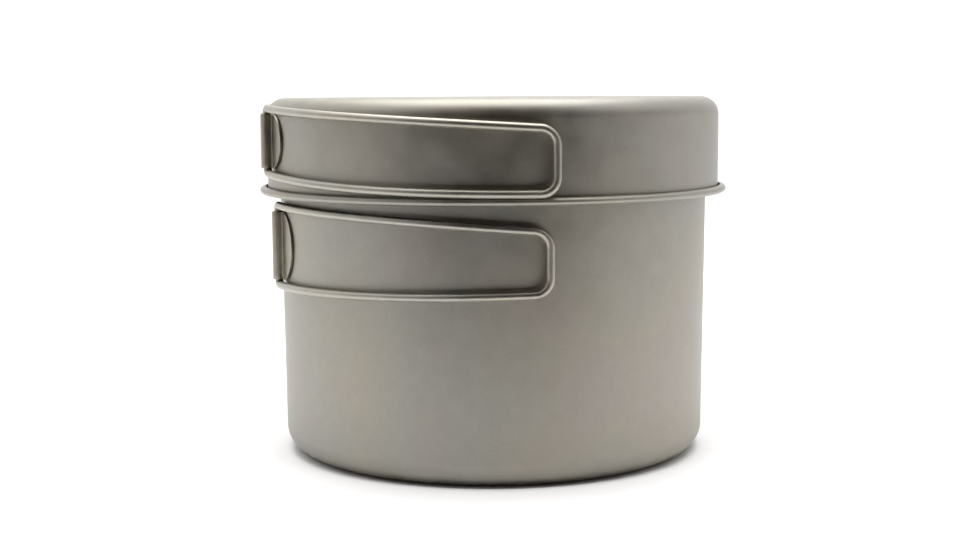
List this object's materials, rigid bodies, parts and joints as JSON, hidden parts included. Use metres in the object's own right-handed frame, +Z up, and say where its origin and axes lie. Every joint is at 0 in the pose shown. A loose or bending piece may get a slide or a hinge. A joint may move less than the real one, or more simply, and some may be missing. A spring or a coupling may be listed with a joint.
{
  "type": "cooking pot set",
  "caption": "Camp cooking pot with a shallow pan turned over as its lid, each with a pair of wire handles that fold round the wall.",
  "frame": {"origin": "centre of the pot's base, on the plane that it stands on", "axes": "+Z up; the pot's handle bracket is centred on the -X side; -Y is the front"},
  "size_m": [0.1407, 0.1425, 0.1056],
  "materials": {
    "vessel_titanium": "fine bead-blasted satin titanium with faint heat tints",
    "bracket_titanium": "satin titanium sheet",
    "wire_titanium": "smooth satin titanium wire"
  },
  "bodies": {
    "pot": {"pot_body": "vessel_titanium", "pot_handle_bracket": "bracket_titanium"},
    "pan": {"pan_body": "vessel_titanium", "pan_handle_bracket": "bracket_titanium"},
    "pot_handle_front": {"pot_handle_front": "wire_titanium"},
    "pot_handle_rear": {"pot_handle_rear": "wire_titanium"},
    "pan_handle_front": {"pan_handle_front": "wire_titanium"},
    "pan_handle_rear": {"pan_handle_rear": "wire_titanium"}
  },
  "joints": [
    {"name": "pan_lift", "type": "slide", "parent": "pot", "child": "pan", "axis": [0, 0, 1], "range_m": [0, 0.06]},
    {"name": "pot_handle_front_swing", "type": "hinge", "parent": "pot", "child": "pot_handle_front", "pos_m": [-0.06374, -0.0155, 0.0627], "axis": [0, 0, -1], "range_deg": [0, 141]},
    {"name": "pot_handle_rear_swing", "type": "hinge", "parent": "pot", "child": "pot_handle_rear", "pos_m": [-0.06374, 0.0155, 0.0627], "axis": [0, 0, 1], "range_deg": [0, 141]},
    {"name": "pan_handle_front_swing", "type": "hinge", "parent": "pan", "child": "pan_handle_front", "pos_m": [-0.06581, -0.02197, 0.0935], "axis": [0, 0, -1], "range_deg": [0, 139]},
    {"name": "pan_handle_rear_swing", "type": "hinge", "parent": "pan", "child": "pan_handle_rear", "pos_m": [-0.0688, 0.00889, 0.0935], "axis": [0, 0, 1], "range_deg": [0, 139]}
  ]
}
